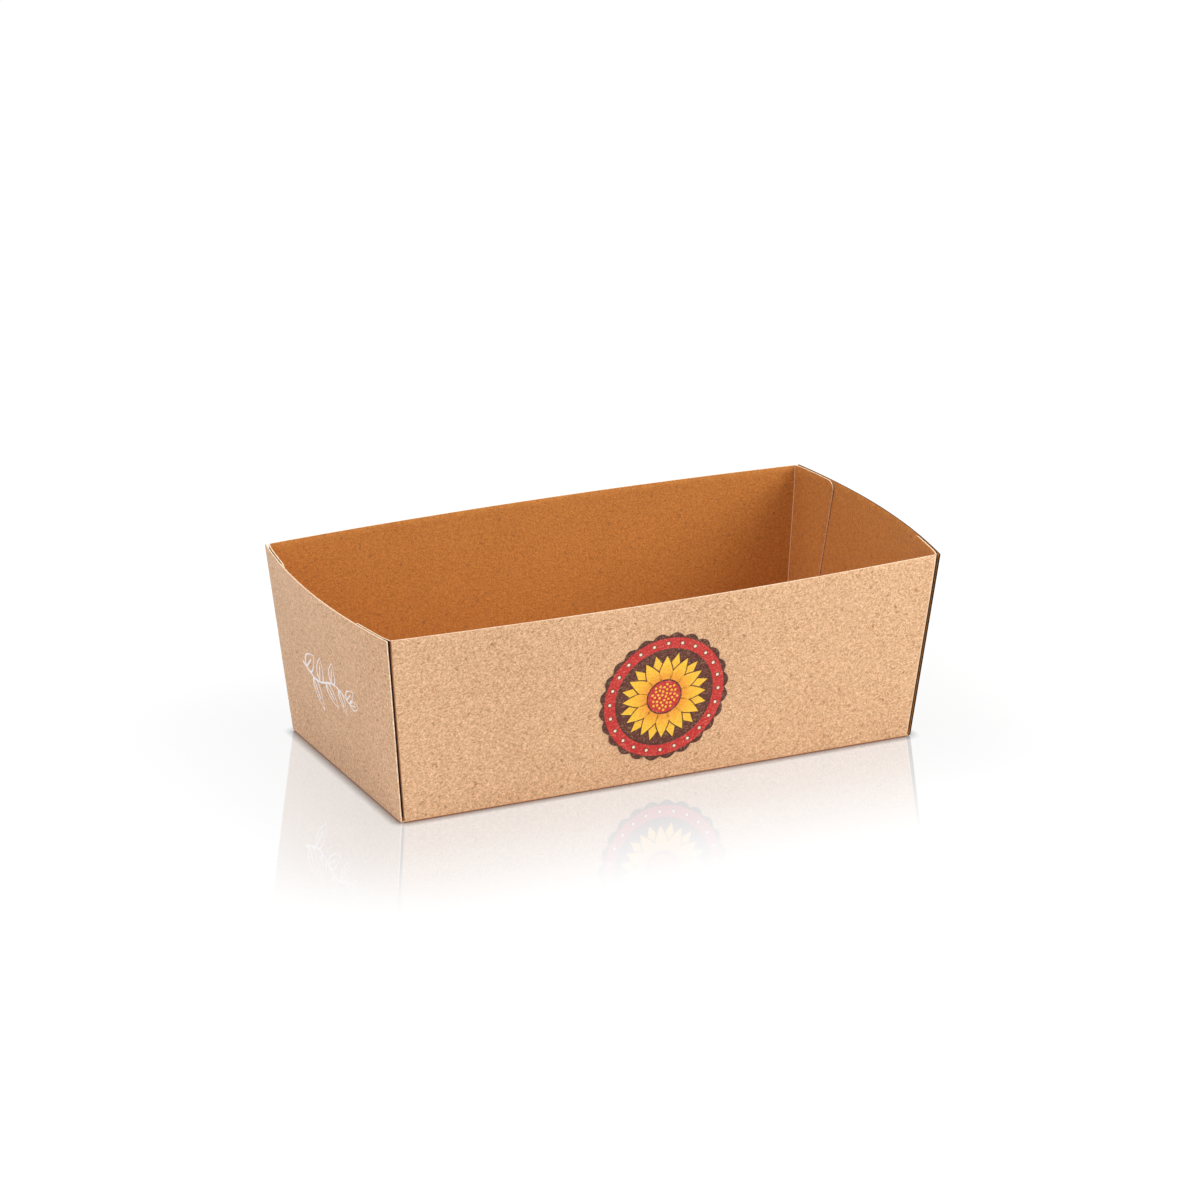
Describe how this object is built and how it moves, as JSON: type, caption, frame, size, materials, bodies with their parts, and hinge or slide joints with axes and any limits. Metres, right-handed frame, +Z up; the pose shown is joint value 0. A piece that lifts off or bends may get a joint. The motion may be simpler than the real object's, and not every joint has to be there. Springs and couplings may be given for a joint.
{
  "type": "paper food tray",
  "caption": "Open-topped takeaway tray folded from one sheet of unbleached board, with leaning bowed walls and glued corners.",
  "frame": {"origin": "underside of the floor, midway between the walls", "axes": "+X along the long walls, +Y from the printed front wall to the back wall, +Z up"},
  "size_m": [0.1916, 0.102, 0.0601],
  "materials": {
    "board": "matte"
  },
  "bodies": {
    "root": {"tray": "board"}
  },
  "joints": []
}
